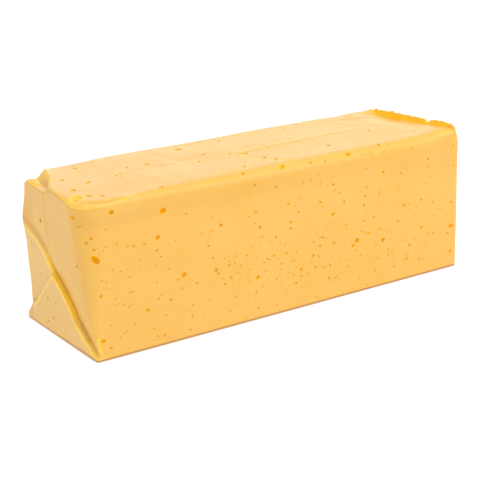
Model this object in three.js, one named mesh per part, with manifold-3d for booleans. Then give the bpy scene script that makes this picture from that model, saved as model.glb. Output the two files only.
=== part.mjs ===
// A deli loaf of american cheese, of one piece, lying on its long side as it comes out of its film.
// Millimetres, +Z up, +X along the loaf, the long side with most pits facing -Y.
// The origin is under the middle of the loaf. The end at -X shows the folds that the film left.

import * as THREE from 'three';
import Module from 'manifold-3d';

const { clamp, lerp, smoothstep, degToRad } = THREE.MathUtils;

// Driving dimensions of the plain block.
const LENGTH = 268;
const WIDTH = 87;
const HEIGHT = 93;
const HALF = LENGTH / 2;
const SIDE = WIDTH / 2;

// Rounding of the edges. A list gives height or place along the loaf, then radius.
const FOOT_RADIUS = 1.4;
const BACK_TOP_RADIUS = 6;
const END_TOP_RADIUS = 7.5;
const BACK_UPRIGHT_RADIUS = 3.5;
const FAR_RADIUS = 2;
const FIN_RADIUS = 1.1;
const NEAR_TOP_RADIUS = [[-HALF, 7], [HALF - 12, 11], [HALF - 2, 3.5]];
const NEAR_UPRIGHT_RADIUS = [[0, 2], [20, 4], [37, 6], [50, 10], [80, 15]];
const CORNER_REACH = 30;
const HIGH_EDGES = { from: 31, to: 78 };

// How far in from the ends, and how far down from the top, their shapes are felt.
const END_REACH = 36;
const TOP_REACH = { from: 24, to: 5 };

// The end at -X is twisted: how far its corners stand out beyond the plain block.
const END_CORNERS = { nearFoot: -3.7, nearHead: 5.5, backHead: -2.6, backFoot: 1 };
const KNEE = { z: 63, rise: 2, width: 9, length: 20 };

// The folds on that end, as places (y, z) on it.
// The long fold runs from the back edge to the near foot, the short one from its middle to the back edge.
const LONG_FOLD = [[48, 62], [36, 59], [23, 57], [15, 53.5], [9.5, 49], [3.5, 42.5], [-5, 36.5],
  [-10.5, 33], [-18.5, 25.5], [-22.5, 19.5], [-36.5, 9.5], [-42.5, 3.5], [-47, -2]];
const SHORT_FOLD = [[1, 41], [9, 33.5], [23.5, 19], [31.5, 11.5], [47, 10]];
const UPRIGHT_CREASE = [[9.5, 91], [6, 50]];
const FOLD_BLEND = 3.8;
const LONG_GROOVE = { start: 2, halfWidth: 1.1, depth: 2.2 };
const SHORT_GROOVE = { start: 0, halfWidth: 0.9, depth: 1 };

// The three parts that the folds leave: the upper one falls in towards the long fold, the two flaps have
// a rim along it. The middle flap sags lower down, and the bottom one is tucked in at the back edge.
const UPPER_PART = { hollow: 1.9, hollowReach: 5, bulge: 0.5, bulgePlace: 16, bulgeWidth: 9, edge: 14 };
const CREASE = { depth: 0.4, width: 2.5 };
const RIM = { height: 0.7, inset: 3, width: 4 };
const MIDDLE_FLAP = { sag: 2, from: 1, to: 22, lowest: 15 };
const BOTTOM_FLAP = { top: 41, fade: 4, rise: 0.8, more: 0.6, moreAt: 12 };
const TUCK = { depth: 4.4, y: 28, foot: 1, head: 11 };

// The far end: its near edge, its folds, which are lower, and a notch in its near top corner.
const FAR_NEAR_EDGE = { foot: 3, head: 1.4 };
const FAR_FOLD = [[-SIDE, 71], [-4, 46], [SIDE, 12]];
const FAR_BRANCH = [[-4, 46], [-30, 0]];
const FAR_STEP = { height: 1.4, reach: 40, under: 1, sink: 1.4, groove: 1.2, width: 3 };
const FAR_EDGES = { near: 12, back: 6 };
const FAR_NOTCH = { z: 90.5, depth: 1.5, width: 3, from: 4, to: 14 };

// The thin fin that stands along the far top edge, and the top in front of it, which is sunk at the back.
// Both lists give a place across the loaf, then a height beyond the plain block.
const FIN_WIDTH = 2.6;
const FIN_SLOPE = { from: -0.4, to: 0.8 };
const SINK_LENGTH = 26;
const SINK_DEPTH = [[-43, -1], [-35, -1.6], [-18, -0.3], [0, 1.5], [15, 3.6], [35, 3.4], [40, 0.3]];
const FIN_RISE = [[-43, 1.2], [-41, 3.2], [-38.5, 4.5], [-28, 4.6], [-19, 3.2], [-5, 2.6], [20, 1.5],
  [32, 0.5], [39, 0], [41, -0.8]];
const FIN_GAP = { y: -16, width: 1.7, depth: 2.6, slope: 1.5 };

// The dent in the top's corner at -X, at the back.
const DENT = { x: -121, y: 17, depth: 5.5, slope: 5 };

// The rest of the top: low seams that the film left, as places (x, y), a back edge that lies a little
// low in places, given as place along the loaf and depth, and shallow waves.
const TOP_SEAM = [[-8, -2], [36, -0.5], [90, 3]];
const FORK = [[-8, -3], [-3.5, -23], [4, -40]];
const SEAM = { height: 0.6, width: 3 };
const FORK_DEPTH = 0.4;
const LOW_BACK = [[-126, 0], [-118, 1.2], [-112, 1.2], [-80, 0], [82, 0], [98, 0.7], [112, 0]];
const LOW_BACK_FROM = 15;
const WAVE = { height: 0.35, xLength: 21, yLength: 15, acrossLength: 13, driftLength: 47, fade: 30 };
const TOP_LEVEL = -0.35;

// Lines of the grid that the block's surface is made on: from, to, and the steps between.
const X_LINES = [[-HALF, -HALF + 9, 5], [-HALF + 9, -HALF + 28, 5], [-HALF + 28, HALF - 30, 13],
  [HALF - 30, HALF - FIN_WIDTH - 1, 5], [HALF - FIN_WIDTH - 1, HALF, 5]];
const Y_LINES = [[-SIDE, -SIDE + FOOT_RADIUS, 1], [-SIDE + FOOT_RADIUS, -SIDE + 11, 4],
  [-SIDE + 11, SIDE - 9, 15], [SIDE - 9, SIDE - FOOT_RADIUS, 3], [SIDE - FOOT_RADIUS, SIDE, 1]];
const Z_LINES = [[0, FOOT_RADIUS, 1], [FOOT_RADIUS, HEIGHT - 17, 17], [HEIGHT - 17, HEIGHT, 7]];
const SPINE_INSET = 8;

// The largest pits that gas left, each as two places on its face of the plain block and its width.
const NEAR_PITS = [[-127, 60.5, 5.4], [-115.5, 86.5, 3.4], [-86, 81, 4], [-74, 40, 3.3], [-90, 66, 2.9],
  [-127, 39, 2.8], [-48, 65, 2.4], [-52, 38, 2.4], [-98, 24, 2.2], [-23, 27, 2.5], [-21, 58, 2.2],
  [9, 25, 2.4], [34, 37, 2.3], [52, 35, 3.5], [49, 32, 2.4], [73, 31, 3.2], [105, 33, 2.3],
  [129, 29, 3.4], [129, 11, 2.6], [72, 76, 2.2], [33, 56, 2.2], [-129.5, 12, 2.6]];
const TOP_PITS = [[-34.5, 26.5, 3.6], [-105, 27.5, 2.4], [-121.5, 9, 2.6], [-111.5, -4.5, 2.6],
  [-123.5, -14, 3], [-120.5, -28, 3], [-115, -32, 2.6], [-67, 8, 2.7], [-28, 7.5, 2.3], [-2.5, -38, 2.6],
  [45.5, -37, 2.4]];
const END_PITS = [[15, 69, 2.8], [-35, 85, 2.4], [-33, 55, 2.2]];
const BACK_PITS = { count: 16, fromEnds: 10, foot: 12, head: 79, spread: 0.7 };
const FAR_PITS = { count: 4, fromEdges: 10, foot: 16, head: 75, spread: 0.6 };
const PIT_WIDTHS = [2.2, 4.2];
const PIT_SHAPE = { stretch: [1.12, 1, 0.94], turn: 37, sink: 0.1, rounderFrom: 3 };
const SEED = 11;

// Value at a place in a list of places and values, straight between them.
function along(list, place) {
  let value = list[0][1];
  for (let i = 1; i < list.length; i += 1) {
    const [from, low] = list[i - 1];
    const [to, high] = list[i];
    if (place > from) value = lerp(low, high, clamp((place - from) / (to - from), 0, 1));
  }
  return value;
}

const hill = (distance, width) => Math.exp(-((distance / width) ** 2));

// Distance to a line of straight stretches. It is positive on the left of the way that the line runs.
function distanceTo(line, a, b) {
  let nearest = Infinity;
  let side = 1;
  for (let i = 1; i < line.length; i += 1) {
    const [a0, b0] = line[i - 1];
    const da = line[i][0] - a0;
    const db = line[i][1] - b0;
    const t = clamp(((a - a0) * da + (b - b0) * db) / (da * da + db * db), 0, 1);
    const distance = Math.hypot(a - a0 - t * da, b - b0 - t * db);
    if (distance < nearest) {
      nearest = distance;
      side = da * (b - b0) - db * (a - a0) >= 0 ? 1 : -1;
    }
  }
  return nearest * side;
}

// How far the rounding of the edges reaches in x, y and z at a place on the plain block.
function roundingAt(x, y, z) {
  const near = 1 - smoothstep(y, -SIDE, -SIDE + CORNER_REACH);
  const left = 1 - smoothstep(x, -HALF, -HALF + CORNER_REACH);
  const right = smoothstep(x, HALF - CORNER_REACH / 2, HALF - FAR_RADIUS);
  const high = smoothstep(z, HIGH_EDGES.from, HIGH_EDGES.to);
  const upright = along(NEAR_UPRIGHT_RADIUS, z);
  const nearTop = along(NEAR_TOP_RADIUS, x);
  const endX = lerp(lerp(BACK_UPRIGHT_RADIUS, END_TOP_RADIUS, high), upright, near);
  const longY = lerp(FOOT_RADIUS, y < 0 ? nearTop : BACK_TOP_RADIUS, high);
  const cornerY = y < 0 ? upright : BACK_UPRIGHT_RADIUS;
  const topZ = lerp(lerp(BACK_TOP_RADIUS, nearTop, near), END_TOP_RADIUS, left);
  const rx = x < 0 ? endX : FAR_RADIUS;
  const ry = lerp(longY, cornerY, left);
  const rz = z < HEIGHT / 2 ? FOOT_RADIUS : lerp(topZ, FIN_RADIUS, right * (1 - near));
  return [rx, ry, rz];
}

// The plain block with its edges rounded.
function rounded(x, y, z) {
  const [rx, ry, rz] = roundingAt(x, y, z);
  const cx = clamp(x, -HALF + rx, HALF - rx);
  const cy = clamp(y, -SIDE + ry, SIDE - ry);
  const cz = clamp(z, rz, HEIGHT - rz);
  const out = new THREE.Vector3((x - cx) / rx, (y - cy) / ry, (z - cz) / rz).normalize();
  return new THREE.Vector3(cx + rx * out.x, cy + ry * out.y, cz + rz * out.z);
}

// How far the end's upper part lies beyond the plain twisted end.
// longWay is the distance above the long fold.
function upperPart(y, z, longWay) {
  const { hollow, hollowReach, bulge, bulgePlace, bulgeWidth } = UPPER_PART;
  const falls = hollow * Math.exp(-Math.max(longWay, 0) / hollowReach);
  const crease = CREASE.depth * hill(distanceTo(UPRIGHT_CREASE, y, z), CREASE.width);
  return bulge * hill(longWay - bulgePlace, bulgeWidth) - falls - crease;
}

// The same for the middle and the bottom flap, which lie below the long fold.
function flaps(y, z, longWay) {
  const shortWay = -distanceTo(SHORT_FOLD, y, z);
  const rim = RIM.height * hill(longWay + RIM.inset, RIM.width);
  const low = smoothstep(KNEE.z - z, 0, KNEE.z - MIDDLE_FLAP.lowest);
  const middle = -MIDDLE_FLAP.sag * low * low * smoothstep(-longWay, MIDDLE_FLAP.from, MIDDLE_FLAP.to);
  const tuck = TUCK.depth * smoothstep(y, TUCK.y, SIDE) * smoothstep(z, TUCK.foot, TUCK.head);
  const bottom = BOTTOM_FLAP.rise + BOTTOM_FLAP.more * smoothstep(z, 0, BOTTOM_FLAP.moreAt) - tuck;
  const reached = 1 - smoothstep(z, BOTTOM_FLAP.top, BOTTOM_FLAP.top + BOTTOM_FLAP.fade);
  return rim + lerp(middle, bottom, smoothstep(shortWay, -FOLD_BLEND, FOLD_BLEND) * reached);
}

// How far the end at -X stands out at (y, z): twisted as a whole, with its flaps folded over each other.
function endReach(y, z) {
  const across = clamp((y + SIDE) / WIDTH, 0, 1);
  const up = clamp(z / HEIGHT, 0, 1);
  const { nearFoot, nearHead, backHead, backFoot } = END_CORNERS;
  const twist = lerp(lerp(nearFoot, nearHead, up), lerp(backFoot, backHead, up), across);
  const knee = KNEE.rise * hill(z - KNEE.z, KNEE.width) * smoothstep(y, SIDE - KNEE.length, SIDE);
  const longWay = -distanceTo(LONG_FOLD, y, z);
  const above = smoothstep(longWay, -FOLD_BLEND, FOLD_BLEND);
  const inside = 1 - smoothstep(y, SIDE - UPPER_PART.edge, SIDE);
  const upper = inside * upperPart(y, z, longWay);
  return twist + knee + lerp(flaps(y, z, longWay), upper, above);
}

// How far the end at +X stands out at (y, z).
function farReach(y, z) {
  const atNear = smoothstep(y, -SIDE, -SIDE + FAR_EDGES.near);
  const atBack = 1 - smoothstep(y, SIDE - FAR_EDGES.back, SIDE);
  const below = -distanceTo(FAR_FOLD, y, z);
  const branch = smoothstep(-distanceTo(FAR_BRANCH, y, z), -FOLD_BLEND, FOLD_BLEND);
  const { height, reach, under, sink, groove, width } = FAR_STEP;
  const step = height * smoothstep(below, -FOLD_BLEND, FOLD_BLEND) * Math.exp(-Math.max(below, 0) / reach);
  const tucked = under * branch * smoothstep(below, 0, FOLD_BLEND);
  const edge = lerp(FAR_NEAR_EDGE.foot, FAR_NEAR_EDGE.head, clamp(z / HEIGHT, 0, 1));
  const straight = edge * (1 - smoothstep(y, -SIDE, SIDE));
  const inCorner = 1 - smoothstep(y, -SIDE + FAR_NOTCH.from, -SIDE + FAR_NOTCH.to);
  const notch = FAR_NOTCH.depth * hill(z - FAR_NOTCH.z, FAR_NOTCH.width) * inCorner;
  return straight - notch + atNear * atBack * (step - tucked - sink - groove * hill(below, width));
}

// How far the top stands above the plain block at (x, y).
function topLift(x, y) {
  const ahead = HALF - FIN_WIDTH - x;
  const onFin = smoothstep(-ahead, FIN_SLOPE.from, FIN_SLOPE.to);
  const sink = along(SINK_DEPTH, y) * (1 - smoothstep(ahead, 1, SINK_LENGTH)) * (1 - onFin);
  const gap = FIN_GAP.depth * hill(y - FIN_GAP.y, FIN_GAP.width) * smoothstep(-ahead, -FIN_GAP.slope, 0);
  const dentX = 1 - smoothstep(x, DENT.x - DENT.slope / 2, DENT.x + DENT.slope / 2);
  const dent = DENT.depth * dentX * smoothstep(y, DENT.y - DENT.slope, DENT.y + DENT.slope * 2);
  const seam = SEAM.height * hill(distanceTo(TOP_SEAM, x, y), SEAM.width);
  const fork = FORK_DEPTH * hill(distanceTo(FORK, x, y), SEAM.width);
  const lowBack = along(LOW_BACK, x) * smoothstep(y, LOW_BACK_FROM, SIDE);
  const wave = Math.sin(x / WAVE.xLength + y / WAVE.yLength)
    * Math.cos(y / WAVE.acrossLength - x / WAVE.driftLength);
  const waves = WAVE.height * wave * smoothstep(ahead, 0, WAVE.fade);
  const fin = along(FIN_RISE, y) * onFin;
  return TOP_LEVEL + waves + seam - fork - lowBack + fin - sink - gap - dent;
}

// A place on the plain block's surface, moved to where the loaf's surface is.
function onLoaf(x, y, z) {
  const p = rounded(x, y, z);
  const atEnd = 1 - smoothstep(x, -HALF, -HALF + END_REACH);
  const atFar = smoothstep(x, HALF - END_REACH, HALF);
  const atTop = smoothstep(z, HEIGHT - TOP_REACH.from, HEIGHT - TOP_REACH.to);
  const lift = topLift(p.x, p.y) * atTop;
  p.x += farReach(p.y, p.z) * atFar - endReach(p.y, p.z) * atEnd;
  p.z += lift;
  return p;
}

// Places of the grid lines along one direction.
function gridLines(stretches) {
  const places = [stretches[0][0]];
  for (const [from, to, steps] of stretches) {
    for (let i = 1; i <= steps; i += 1) places.push(lerp(from, to, i / steps));
  }
  return places;
}

// Whole numbers from one to the other, up or down.
function steps(from, to) {
  const way = Math.sign(to - from);
  return Array.from({ length: Math.abs(to - from) + 1 }, (_, n) => from + way * n);
}

// The closed surface of the loaf, without its pits.
function loafGeometry() {
  const lines = [gridLines(X_LINES), gridLines(Y_LINES), gridLines(Z_LINES)];
  const last = lines.map((places) => places.length - 1);
  const numbers = new Map();
  const positions = [];
  const faces = [];

  const vertex = (ijk) => {
    const key = ijk.join();
    if (!numbers.has(key)) {
      numbers.set(key, numbers.size);
      positions.push(...onLoaf(lines[0][ijk[0]], lines[1][ijk[1]], lines[2][ijk[2]]));
    }
    return numbers.get(key);
  };

  // One face of the block: axis is its own direction, and u and v turn right-handed about it.
  const side = (axis, atEnd) => {
    const u = (axis + 1) % 3;
    const v = (axis + 2) % 3;
    const isFoot = axis === 2 && !atEnd;
    for (let i = 0; i < last[u]; i += 1) {
      for (let j = 0; j < last[v]; j += 1) {
        const rim = i === 0 || j === 0 || i === last[u] - 1 || j === last[v] - 1;
        if (isFoot && !rim) continue;
        const corners = [[i, j], [i + 1, j], [i + 1, j + 1], [i, j + 1]].map(([a, b]) => {
          const ijk = [0, 0, 0];
          ijk[axis] = atEnd ? last[axis] : 0;
          ijk[u] = a;
          ijk[v] = b;
          return vertex(ijk);
        });
        const [a, b, c, d] = atEnd ? corners : corners.reverse();
        if ((i + j) % 2) faces.push(a, b, c, a, c, d);
        else faces.push(a, b, d, b, c, d);
      }
    }
  };
  for (const axis of [0, 1, 2]) {
    side(axis, true);
    side(axis, false);
  }

  // The flat of the foot starts one grid line in from the edge and has few faces:
  // strips on both sides of a spine along its middle, and a fan at each end of the spine.
  const [nx, ny] = last;
  const foot = (i, j) => vertex([i, j, 0]);
  const spine = (i) => foot(i, Math.round(ny / 2));
  const cover = (hub, ...path) => {
    for (let n = 1; n < path.length; n += 1) faces.push(hub, path[n], path[n - 1]);
  };
  const row = (from, to, j) => steps(from, to).map((i) => foot(i, j));
  const column = (i, from, to) => steps(from, to).map((j) => foot(i, j));
  const first = SPINE_INSET;
  const final = nx - SPINE_INSET;
  for (let i = first; i < final; i += 1) {
    cover(foot(i, 1), foot(i + 1, 1), spine(i + 1), spine(i));
    cover(spine(i), spine(i + 1), foot(i + 1, ny - 1), foot(i, ny - 1));
  }
  cover(spine(first), ...row(first, 1, ny - 1), ...column(1, ny - 2, 1), ...row(2, first, 1));
  cover(spine(final), ...row(final, nx - 1, 1), ...column(nx - 1, 2, ny - 1), ...row(nx - 2, final, ny - 1));

  const geometry = new THREE.BufferGeometry();
  geometry.setAttribute('position', new THREE.Float32BufferAttribute(positions, 3));
  geometry.setIndex(faces);
  return geometry;
}

// A repeatable draw of numbers from 0 to 1.
function draws(seed) {
  let state = seed;
  return () => {
    state = (state * 16807) % 2147483647;
    return state / 2147483647;
  };
}

// Every pit as its place on the plain block, the way out of the loaf there, and its width.
function allPits() {
  const draw = draws(SEED);
  const width = () => lerp(PIT_WIDTHS[0], PIT_WIDTHS[1], draw() ** 3);
  const pits = [
    ...NEAR_PITS.map(([x, z, size]) => ({ place: [x, -SIDE, z], out: [0, -1, 0], size })),
    ...TOP_PITS.map(([x, y, size]) => ({ place: [x, y, HEIGHT], out: [0, 0, 1], size })),
    ...END_PITS.map(([y, z, size]) => ({ place: [-HALF, y, z], out: [-1, 0, 0], size })),
  ];
  // Pits in a row are drawn one to each equal stretch of it, so that they don't meet.
  const stretch = ({ count, spread }, length, i) => lerp(-length, length, (i + spread * draw()) / count);
  for (let i = 0; i < BACK_PITS.count; i += 1) {
    const x = stretch(BACK_PITS, HALF - BACK_PITS.fromEnds, i);
    const z = lerp(BACK_PITS.foot, BACK_PITS.head, draw());
    pits.push({ place: [x, SIDE, z], out: [0, 1, 0], size: width() });
  }
  for (let i = 0; i < FAR_PITS.count; i += 1) {
    const y = stretch(FAR_PITS, SIDE - FAR_PITS.fromEdges, i);
    const z = lerp(FAR_PITS.foot, FAR_PITS.head, draw());
    pits.push({ place: [HALF, y, z], out: [1, 0, 0], size: width() });
  }
  return pits;
}

// The shape that leaves a pit: a slightly long ball, sunk a little below the surface.
function pitGeometry({ place, out, size }, number) {
  const ball = new THREE.IcosahedronGeometry(size / 2, size > PIT_SHAPE.rounderFrom ? 1 : 0);
  ball.scale(...PIT_SHAPE.stretch);
  ball.rotateY(degToRad(PIT_SHAPE.turn * number));
  const centre = onLoaf(...place).addScaledVector(new THREE.Vector3(...out), -PIT_SHAPE.sink * size);
  ball.translate(...centre);
  return ball;
}

// A wedge that cuts a groove along a fold of the end at -X.
function foldGeometry(fold, { start, halfWidth, depth }) {
  const line = fold.slice(start);
  const positions = [];
  const faces = [];
  const last = line.length - 1;
  line.forEach(([y, z], i) => {
    const [y0, z0] = line[Math.max(i - 1, 0)];
    const [y1, z1] = line[Math.min(i + 1, last)];
    const length = Math.hypot(y1 - y0, z1 - z0);
    const acrossY = (halfWidth * (z0 - z1)) / length;
    const acrossZ = (halfWidth * (y1 - y0)) / length;
    const { x } = onLoaf(-HALF, y, z);
    positions.push(x - depth, y + 2 * acrossY, z + 2 * acrossZ);
    positions.push(x - depth, y - 2 * acrossY, z - 2 * acrossZ);
    positions.push(x + depth, y, z);
  });
  for (let i = 0; i < last; i += 1) {
    for (const [a, b] of [[0, 1], [1, 2], [2, 0]]) {
      const here = 3 * i;
      faces.push(here + a, here + 3 + a, here + b, here + b, here + 3 + a, here + 3 + b);
    }
  }
  faces.push(0, 1, 2, 3 * last, 3 * last + 2, 3 * last + 1);
  const geometry = new THREE.BufferGeometry();
  geometry.setAttribute('position', new THREE.Float32BufferAttribute(positions, 3));
  geometry.setIndex(faces);
  return geometry;
}

const wasm = await Module();
wasm.setup();

// Corners that lie together are given one number, so that the solid is closed.
function toSolid(geometry) {
  const source = geometry.getAttribute('position');
  const order = geometry.index ? geometry.index.array : [...Array(source.count).keys()];
  const numbers = new Map();
  const vertProperties = [];
  const triVerts = [];
  for (const i of order) {
    const corner = [source.getX(i), source.getY(i), source.getZ(i)];
    const key = corner.map((value) => value.toFixed(4)).join();
    if (!numbers.has(key)) {
      numbers.set(key, numbers.size);
      vertProperties.push(...corner);
    }
    triVerts.push(numbers.get(key));
  }
  return new wasm.Manifold(new wasm.Mesh({
    numProp: 3,
    vertProperties: new Float32Array(vertProperties),
    triVerts: new Uint32Array(triVerts),
  }));
}

function toGeometry(solid) {
  const { vertProperties, triVerts, numProp } = solid.getMesh();
  const positions = [];
  for (let i = 0; i < vertProperties.length; i += numProp) {
    positions.push(vertProperties[i], vertProperties[i + 1], vertProperties[i + 2]);
  }
  const geometry = new THREE.BufferGeometry();
  geometry.setAttribute('position', new THREE.Float32BufferAttribute(positions, 3));
  geometry.setIndex([...triVerts]);
  return geometry;
}

// The loaf with its folds and pits cut, moved so that the origin is under its middle.
function cheeseLoaf() {
  let solid = toSolid(loafGeometry());
  solid = solid.subtract(toSolid(foldGeometry(LONG_FOLD, LONG_GROOVE)));
  solid = solid.subtract(toSolid(foldGeometry(SHORT_FOLD, SHORT_GROOVE)));
  for (const [number, pit] of allPits().entries()) {
    solid = solid.subtract(toSolid(pitGeometry(pit, number)));
  }
  const geometry = toGeometry(solid);
  geometry.computeBoundingBox();
  const { min, max } = geometry.boundingBox;
  geometry.translate(-(min.x + max.x) / 2, -(min.y + max.y) / 2, -min.z);
  geometry.computeVertexNormals();
  const cheese = new THREE.MeshStandardMaterial({ color: 0xfbbf62, roughness: 0.45, metalness: 0 });
  const mesh = new THREE.Mesh(geometry, cheese);
  mesh.name = 'cheese_loaf';
  return mesh;
}

const loaf = new THREE.Group();
loaf.add(cheeseLoaf());

export default loaf;
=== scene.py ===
"""A deli loaf of american cheese on a pale studio floor, laid out as a Blender add-on.

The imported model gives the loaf's place and size. The loaf is built here again as a fine mesh
with the folds, seams and gas pits of its surface, and it takes the place of the plain solid.
"""

import math

import bmesh
import bpy
import numpy as np
from bpy.props import FloatProperty, FloatVectorProperty, IntProperty, PointerProperty
from mathutils import Matrix, Vector
from mathutils.geometry import convex_hull_2d


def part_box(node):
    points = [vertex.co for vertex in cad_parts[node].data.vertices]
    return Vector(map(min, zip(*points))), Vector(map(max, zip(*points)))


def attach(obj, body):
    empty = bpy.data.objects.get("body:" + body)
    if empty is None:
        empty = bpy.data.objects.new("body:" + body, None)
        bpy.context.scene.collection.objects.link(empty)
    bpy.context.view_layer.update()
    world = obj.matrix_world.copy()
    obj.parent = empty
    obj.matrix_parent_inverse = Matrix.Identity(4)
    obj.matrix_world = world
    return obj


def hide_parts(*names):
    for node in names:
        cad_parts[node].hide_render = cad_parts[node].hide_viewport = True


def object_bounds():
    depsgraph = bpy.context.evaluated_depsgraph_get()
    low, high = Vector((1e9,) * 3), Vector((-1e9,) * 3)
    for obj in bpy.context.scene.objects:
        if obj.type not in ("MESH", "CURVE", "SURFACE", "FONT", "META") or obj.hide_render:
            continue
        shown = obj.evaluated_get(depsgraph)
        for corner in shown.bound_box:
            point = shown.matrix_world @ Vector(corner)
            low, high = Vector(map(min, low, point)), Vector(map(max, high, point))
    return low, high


bl_info = {
    "name": "Cheese Loaf",
    "version": (1, 0, 0),
    "blender": (4, 5, 0),
    "location": "View3D > Sidebar > Cheese",
    "description": "Builds a deli loaf of american cheese and the studio that it stands in",
    "category": "Object",
}

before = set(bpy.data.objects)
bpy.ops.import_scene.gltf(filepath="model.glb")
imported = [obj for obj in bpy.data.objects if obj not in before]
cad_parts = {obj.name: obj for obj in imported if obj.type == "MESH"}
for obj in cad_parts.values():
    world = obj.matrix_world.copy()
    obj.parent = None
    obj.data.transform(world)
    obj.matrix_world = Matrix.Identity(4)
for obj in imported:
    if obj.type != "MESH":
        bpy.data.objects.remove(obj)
SOLID_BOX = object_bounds()
LOAF_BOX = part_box("cheese_loaf")

MM = 0.001
LOAF_NAME = "cheese_loaf_fine"
WHITE = (1, 1, 1, 1)
BLACK = (0, 0, 0, 1)

# The plain block in millimetres, before its edges are rounded and its film marks made.
LENGTH = 268
WIDTH = 87
HEIGHT = 93
HALF = LENGTH / 2
SIDE = WIDTH / 2

# Rounding of the edges. Each list gives a place, then the radius there: along the loaf for the near top
# edge, across it for the top edge at -X, and up it for the near upright edge. Near a corner, over
# CORNER_REACH, one edge's radius passes into the other's.
FOOT_RADIUS = 1.4
BACK_TOP_RADIUS = 6
BACK_UPRIGHT_RADIUS = 3.5
FAR_RADIUS = 2
FIN_RADIUS = 1.1
NEAR_TOP_RADIUS = [(-HALF, 4), (-100, 6), (-50, 8.5), (HALF - 12, 11), (HALF - 2, 3.5)]
END_TOP_RADIUS = [(-43, 4), (-30, 2.5), (-10, 2), (18, 1.6)]
NEAR_UPRIGHT_RADIUS = [(0, 2), (20, 4), (37, 6), (50, 10), (80, 15)]
CORNER_REACH = 30

# Folds on the end at -X, as places (y, z) on it, then the heights where the short fold meets the long one
# and where the long one is at its highest.
LONG_FOLD = [
    (48, 65), (36, 61.7), (23.4, 57.6), (15.2, 53.6), (9.8, 49.1), (3.7, 42.5), (-5.1, 36.6),
    (-10.4, 32.9), (-18.5, 25.5), (-22.5, 19.6), (-28.5, 15.5), (-36.4, 9.4), (-42.4, 3.5), (-47, -2),
]
SHORT_FOLD = [(1, 41), (8.8, 33.5), (16, 26.7), (23.6, 19.1), (31.3, 12), (47, 11.6)]
UPRIGHT_CREASE = [(9.5, 91), (8.3, 70), (6, 50)]
FLAP_WELT = [
    (-22.6, 21.5), (-23.2, 18.7), (-25, 16), (-27.8, 11.9), (-32.4, 10.5), (-35.2, 8.9), (-37.6, 6.6),
    (-41, 3.4),
]
FOLD_JUNCTION = 41.8
FOLD_TOP = 63

# Where the long fold turns from sharp to soft, as places across the loaf.
SOFT_FROM = 0
SOFT_TO = 14

# Folds on the end at +X, as places (y, z) on it.
FAR_LONG_FOLD = [(-SIDE, 71), (-4, 46), (SIDE, 12)]
FAR_SHORT_FOLD = [(-4, 46), (-30, 0)]

# How far the corners of both ends stand out beyond the plain block, and how far into the loaf it is felt.
END_CORNERS = {"near_foot": -3.7, "near_head": 5.5, "back_head": -2.6, "back_foot": 1}
FAR_NEAR_EDGE = {"foot": 3, "head": 1.4}
END_REACH = 36

# The thin fin that stands along the top edge at +X, and the top in front of it, which is sunk at the back.
# Each list gives a place across the loaf, then how deep the top is sunk there, how far the fin rises
# above the plain block, or how high one of the fin's tips is, and how wide.
FIN_WIDTH = 2.6
SINK_LENGTH = 26
SINK_DEPTH = [(-43, -1), (-35, -1.6), (-18, -0.3), (0, 1.4), (15, 3), (34, 2.8), (39, 0.3), (43, 0)]
FIN_RISE = [
    (-43, 1.2), (-41, 3.2), (-38.5, 4.5), (-28, 4.6), (-19, 3.2), (-5, 2.6), (20, 1.5), (32, 0.5),
    (37, 0), (39, -0.8), (43, -1.2),
]
FIN_GAP = {"y": -16, "width": 1.7, "depth": 2.6}
FIN_TIPS = [(36.5, 0.9, 0.8), (19, 0.7, 0.9)]

# The dent in the top's corner at -X, at the back. Each list gives a place across the loaf, then
# where the top of the dent's wall is along it, how deep the dent is, or how far its wall slopes.
DENT_WALL = [
    (-20, -136), (-8, -132.5), (3, -130.5), (8, -129), (14, -126.3), (23, -123.7), (31, -121.8),
    (43, -118.5),
]
DENT_DEPTH = [(-20, 0), (-8, 1), (2, 3), (10, 4.6), (18, 5.2), (26, 5.5), (37, 5.0), (43.5, 8.0)]
DENT_SLOPE = [(14, 4), (43, 8)]

# How high the slow waves of the top are.
WAVE_HEIGHT = 0.35

# How far the top's back edge lies low, at places along the loaf.
LOW_BACK = [(-126, 0), (-118, 1.2), (-112, 1.2), (-80, 0), (82, 0), (98, 0.7), (112, 0)]

# Seams and wrinkles that the film left on the top, as places (x, y), then height and width. Along the seams
# a painted bounce light makes the cheese richer in colour.
TOP_SEAMS = [
    ([(-8, -2), (16, -1), (36, -0.5), (69, 1.5), (90, 3)], 0.5, 1.6),
    ([(-9, -5), (-7.4, -14), (-2, -20.5), (0, -28), (6, -38)], -0.6, 1),
]
TOP_WRINKLES = [
    ([(-116, -27), (-105, -15), (-94, -3), (-83, 2.5), (-67, 6.5), (-54, 2)], 0.3, 2.2),
    ([(-65, -2), (-67, -20), (-68, -36)], -0.25, 1.6),
    ([(-54, 27), (-50, 15), (-47, 1), (-33, 6.5)], -0.35, 2.2),
    ([(96, 28), (108, 25), (119, 19)], 0.6, 1.8),
    ([(86.5, 22), (95.5, 4.5), (104, 2.5), (117, 4)], 0.4, 1.2),
]

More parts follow.
